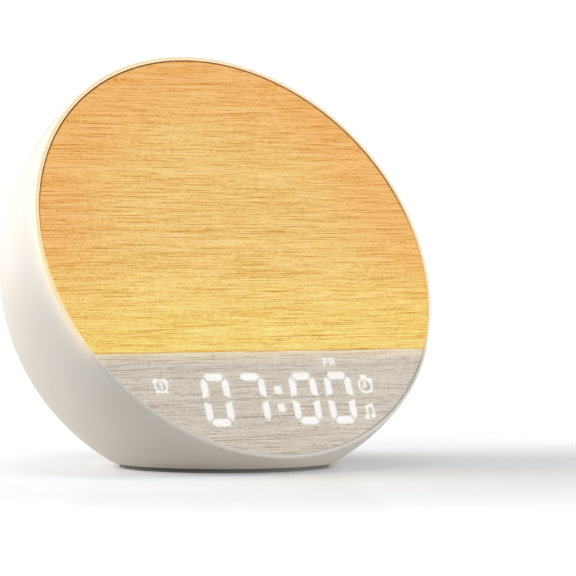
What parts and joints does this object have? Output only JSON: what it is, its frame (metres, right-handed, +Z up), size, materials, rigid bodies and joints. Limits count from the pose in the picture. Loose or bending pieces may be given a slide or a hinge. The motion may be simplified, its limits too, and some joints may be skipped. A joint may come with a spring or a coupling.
{
  "type": "sunrise alarm clock",
  "caption": "Ball-shaped bedside alarm clock: a leaning round fabric face with a dawn lamp and a clock display behind it, on a small rubber foot.",
  "frame": {"origin": "middle of the underside of the rubber foot, on the table", "axes": "+Z up, the face looks towards -Y and leans back, +X is to the right of a person in front of it"},
  "size_m": [0.18, 0.1378, 0.1655],
  "materials": {
    "shell_plastic": "matte warm white",
    "face_cloth": "linen weave, pale beige",
    "diffuser_plastic": "milky, frosted",
    "white_plastic": "high-reflectance white",
    "foam": "closed-cell foam",
    "white_board": "white solder mask",
    "led_lens": "phosphor yellow",
    "black_plastic": "moulded black",
    "digit_light": "milky, lit from behind",
    "green_board": "green solder mask",
    "dark_lens": "dark infrared window",
    "grey_plastic": "light warm grey, fine texture",
    "foot_rubber": "matte black",
    "cell_steel": "satin",
    "contact_steel": "nickel plated",
    "screw_steel": "zinc plated",
    "frame_steel": "pressed steel",
    "surround_rubber": "matte",
    "cone_paper": "black paper pulp",
    "magnet_iron": "ferrite",
    "key_plastic": "light grey, satin",
    "switch_plastic": "black",
    "usb_plastic": "white",
    "lead_sleeve": "flat ribbon sleeve"
  },
  "bodies": {
    "root": {"base_plate": "grey_plastic", "base_screws": "screw_steel", "battery_door": "grey_plastic", "cell_contacts": "contact_steel", "coin_cell": "cell_steel", "control_panel": "grey_plastic", "dc_jack": "black_plastic", "dc_pin": "cell_steel", "diffuser_panel": "diffuser_plastic", "display_board": "green_board", "display_guides": "digit_light", "display_housing": "black_plastic", "display_lead": "lead_sleeve", "display_leds": "led_lens", "door_screw": "screw_steel", "face_fabric": "face_cloth", "housing_shell": "shell_plastic", "ir_receiver": "dark_lens", "key_board": "green_board", "key_switches": "black_plastic", "lamp_lead": "lead_sleeve", "led_board": "white_board", "led_emitters": "led_lens", "light_seal": "foam", "light_tray": "white_plastic", "main_board": "green_board", "main_chips": "black_plastic", "pad_lead": "lead_sleeve", "rubber_foot": "foot_rubber", "speaker_cone": "cone_paper", "speaker_frame": "frame_steel", "speaker_gasket": "foam", "speaker_grille": "grey_plastic", "speaker_lead": "lead_sleeve", "speaker_magnet": "magnet_iron", "speaker_surround": "surround_rubber", "usb_shell": "cell_steel", "usb_tongue": "usb_plastic"},
    "button_alarm_one": {"key_alarm_one": "key_plastic", "plunger_alarm_one": "switch_plastic"},
    "button_snooze": {"key_snooze": "key_plastic", "plunger_snooze": "switch_plastic"},
    "button_alarm_two": {"key_alarm_two": "key_plastic", "plunger_alarm_two": "switch_plastic"},
    "button_light": {"key_light": "key_plastic", "plunger_light": "switch_plastic"},
    "button_volume_down": {"key_volume_down": "key_plastic", "plunger_volume_down": "switch_plastic"},
    "button_volume_up": {"key_volume_up": "key_plastic", "plunger_volume_up": "switch_plastic"},
    "button_sound": {"key_sound": "key_plastic", "plunger_sound": "switch_plastic"}
  },
  "joints": [
    {"name": "press_alarm_one", "type": "slide", "parent": "root", "child": "button_alarm_one", "axis": [0, -0.766, -0.6428], "range_m": [0, 0.0008], "stiffness_N_per_m": 500, "springref_m": -0.002},
    {"name": "press_snooze", "type": "slide", "parent": "root", "child": "button_snooze", "axis": [0, -0.766, -0.6428], "range_m": [0, 0.0008], "stiffness_N_per_m": 500, "springref_m": -0.002},
    {"name": "press_alarm_two", "type": "slide", "parent": "root", "child": "button_alarm_two", "axis": [0, -0.766, -0.6428], "range_m": [0, 0.0008], "stiffness_N_per_m": 500, "springref_m": -0.002},
    {"name": "press_light", "type": "slide", "parent": "root", "child": "button_light", "axis": [0, -0.766, -0.6428], "range_m": [0, 0.0008], "stiffness_N_per_m": 500, "springref_m": -0.002},
    {"name": "press_volume_down", "type": "slide", "parent": "root", "child": "button_volume_down", "axis": [0, -0.766, -0.6428], "range_m": [0, 0.0008], "stiffness_N_per_m": 500, "springref_m": -0.002},
    {"name": "press_volume_up", "type": "slide", "parent": "root", "child": "button_volume_up", "axis": [0, -0.766, -0.6428], "range_m": [0, 0.0008], "stiffness_N_per_m": 500, "springref_m": -0.002},
    {"name": "press_sound", "type": "slide", "parent": "root", "child": "button_sound", "axis": [0, -0.766, -0.6428], "range_m": [0, 0.0008], "stiffness_N_per_m": 500, "springref_m": -0.002}
  ]
}
